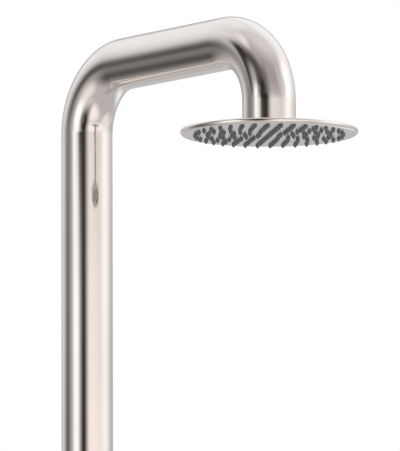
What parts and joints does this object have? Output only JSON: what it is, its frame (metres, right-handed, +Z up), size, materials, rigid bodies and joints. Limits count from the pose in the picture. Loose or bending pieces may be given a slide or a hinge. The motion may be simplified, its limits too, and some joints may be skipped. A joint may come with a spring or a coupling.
{
  "type": "outdoor shower post",
  "caption": "Free-standing outdoor shower post: a bent round steel tube on a base plate, with a thin round rain head and a lever mixer.",
  "frame": {"origin": "centre of the anchor bolt circle on the underside of the base plate, on the ground", "axes": "+Z up along the post, +X from the post along the arm towards the head"},
  "size_m": [0.567, 0.254, 2.2301],
  "materials": {
    "polished_steel": "polished to a soft shine",
    "plate_steel": "plain machined",
    "face_steel": "matt, bead blasted",
    "brass": "machined",
    "nozzle_rubber": "matt moulded",
    "plastic": "moulded",
    "ceramic": "lapped",
    "hose": "braided",
    "mark": "two-colour mark"
  },
  "bodies": {
    "post": {"base_plate": "plate_steel", "base_weld": "plate_steel", "inlet_block": "brass", "block_screw_front": "plate_steel", "block_screw_back": "plate_steel", "inlet_filter_hot": "plate_steel", "inlet_filter_cold": "plate_steel", "post_tube": "polished_steel", "hot_hose": "hose", "cold_hose": "hose", "hot_ferrule_lower": "brass", "hot_ferrule_upper": "brass", "cold_ferrule_lower": "brass", "cold_ferrule_upper": "brass", "riser_hose": "plastic", "riser_ferrule": "brass", "valve_branch": "polished_steel", "mixer_body": "brass", "body_screw": "plate_steel", "cartridge_seal": "nozzle_rubber", "cartridge_housing": "plastic", "fixed_disc": "ceramic", "cartridge_nut": "brass", "dome_ring": "polished_steel", "head_shell": "polished_steel", "nozzle_mat": "nozzle_rubber", "face_plate": "face_steel", "outlet_bush": "brass", "bush_ring": "nozzle_rubber", "head_nipple": "brass", "nipple_washer": "nozzle_rubber", "flow_regulator": "plastic", "filter_washer": "nozzle_rubber"},
    "cover": {"base_cover": "polished_steel", "cover_seal": "nozzle_rubber"},
    "mixer_rotor": {"cartridge_rotor": "plastic", "stem_pin": "plate_steel"},
    "mixer_disc": {"moving_disc": "ceramic", "disc_driver": "plastic"},
    "mixer_handle": {"lever_stem": "brass", "handle_cap": "polished_steel", "lever_rod": "polished_steel", "handle_screw": "plate_steel", "index_plug": "mark"}
  },
  "joints": [
    {"name": "base_cover_slide", "type": "slide", "parent": "post", "child": "cover", "axis": [0, 0, 1], "range_m": [0, 1]},
    {"name": "temperature_turn", "type": "hinge", "parent": "post", "child": "mixer_rotor", "pos_m": [0.06, 0, 1.1], "axis": [1, 0, 0], "range_deg": [-45, 45]},
    {"name": "flow_lift", "type": "hinge", "parent": "mixer_rotor", "child": "mixer_handle", "pos_m": [0.06, 0, 1.1], "axis": [0, 1, 0], "range_deg": [0, 22]},
    {"name": "disc_slide", "type": "slide", "parent": "mixer_rotor", "child": "mixer_disc", "axis": [0, 0, 1], "range_m": [0, 0.0056]}
  ],
  "couplings": [
    {"joint": "disc_slide", "follows": "flow_lift", "m_per_rad": 0.014}
  ]
}
